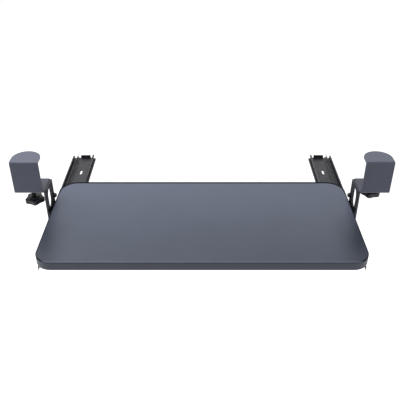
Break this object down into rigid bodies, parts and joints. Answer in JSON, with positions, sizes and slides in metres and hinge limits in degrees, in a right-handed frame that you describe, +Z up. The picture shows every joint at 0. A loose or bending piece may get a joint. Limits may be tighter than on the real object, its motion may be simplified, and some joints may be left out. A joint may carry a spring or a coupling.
{
  "type": "clamp-on keyboard tray",
  "caption": "Flat tray with rounded corners that slides on ball-bearing rails hung from a pair of C-shaped desk clamps with star-knob screws.",
  "frame": {"origin": "centre of the tray's upper face, with the tray drawn out as in the picture", "axes": "+X to the right along the tray's length, +Y towards the back of the desk, +Z up"},
  "size_m": [0.832, 0.492, 0.159],
  "materials": {
    "tray_surface": "satin laminate, blue-grey",
    "edge_band": "satin edge band, dark blue-grey",
    "board": "fibreboard with dark backing paper",
    "clamp_paint": "fine powder coat, dark blue-grey",
    "black_steel": "black coating, semi-gloss",
    "slide_steel": "black electro-coat on rolled steel",
    "zinc_steel": "bright zinc plate",
    "ball_steel": "polished",
    "rubber": "matt",
    "black_plastic": "moulded, matt",
    "knob_plastic": "moulded, semi-matt"
  },
  "bodies": {
    "desk_clamps": {"clamp_frame_left": "clamp_paint", "clamp_frame_right": "clamp_paint", "clamp_top_pad_left": "rubber", "clamp_top_pad_right": "rubber", "weld_nut_left": "clamp_paint", "weld_nut_right": "clamp_paint", "rail_carrier_left": "black_steel", "rail_carrier_right": "black_steel", "carrier_bolts_left": "black_steel", "carrier_bolts_right": "black_steel", "carrier_nuts_left": "black_steel", "carrier_nuts_right": "black_steel", "slide_outer_left": "slide_steel", "slide_outer_right": "slide_steel", "slide_stop_left": "black_plastic", "slide_stop_right": "black_plastic"},
    "tray": {"tray_core": "board", "tray_top_sheet": "tray_surface", "tray_edge_band": "edge_band", "slide_inner_left": "slide_steel", "slide_inner_right": "slide_steel"},
    "ball_cages": {"ball_cage_left": "zinc_steel", "ball_cage_right": "zinc_steel", "slide_balls": "ball_steel"},
    "pad_left": {"pressure_plate_left": "black_steel", "pressure_pad_left": "rubber"},
    "screw_left": {"clamp_spindle_left": "black_steel", "star_knob_left": "knob_plastic"},
    "pad_right": {"pressure_plate_right": "black_steel", "pressure_pad_right": "rubber"},
    "screw_right": {"clamp_spindle_right": "black_steel", "star_knob_right": "knob_plastic"}
  },
  "joints": [
    {"name": "tray_slide", "type": "slide", "parent": "desk_clamps", "child": "tray", "axis": [0, -1, 0], "range_m": [-0.176, 0.024]},
    {"name": "cage_roll", "type": "slide", "parent": "desk_clamps", "child": "ball_cages", "axis": [0, -1, 0], "range_m": [-0.0882, 0.0122]},
    {"name": "left_pad_rise", "type": "slide", "parent": "desk_clamps", "child": "pad_left", "axis": [0, 0, 1], "range_m": [-0.001, 0.024]},
    {"name": "left_screw_turn", "type": "hinge", "parent": "pad_left", "child": "screw_left", "pos_m": [-0.38475, 0.06275, 0.03], "axis": [0, 0, 1], "range_deg": [-241, 5761]},
    {"name": "right_pad_rise", "type": "slide", "parent": "desk_clamps", "child": "pad_right", "axis": [0, 0, 1], "range_m": [-0.02, 0.005]},
    {"name": "right_screw_turn", "type": "hinge", "parent": "pad_right", "child": "screw_right", "pos_m": [0.38475, 0.06275, 0.05], "axis": [0, 0, 1], "range_deg": [-4801, 1201]}
  ],
  "couplings": [
    {"joint": "cage_roll", "follows": "tray_slide", "ratio": 0.5},
    {"joint": "left_screw_turn", "follows": "left_pad_rise", "rad_per_m": 4188.8},
    {"joint": "right_screw_turn", "follows": "right_pad_rise", "rad_per_m": 4188.8}
  ]
}
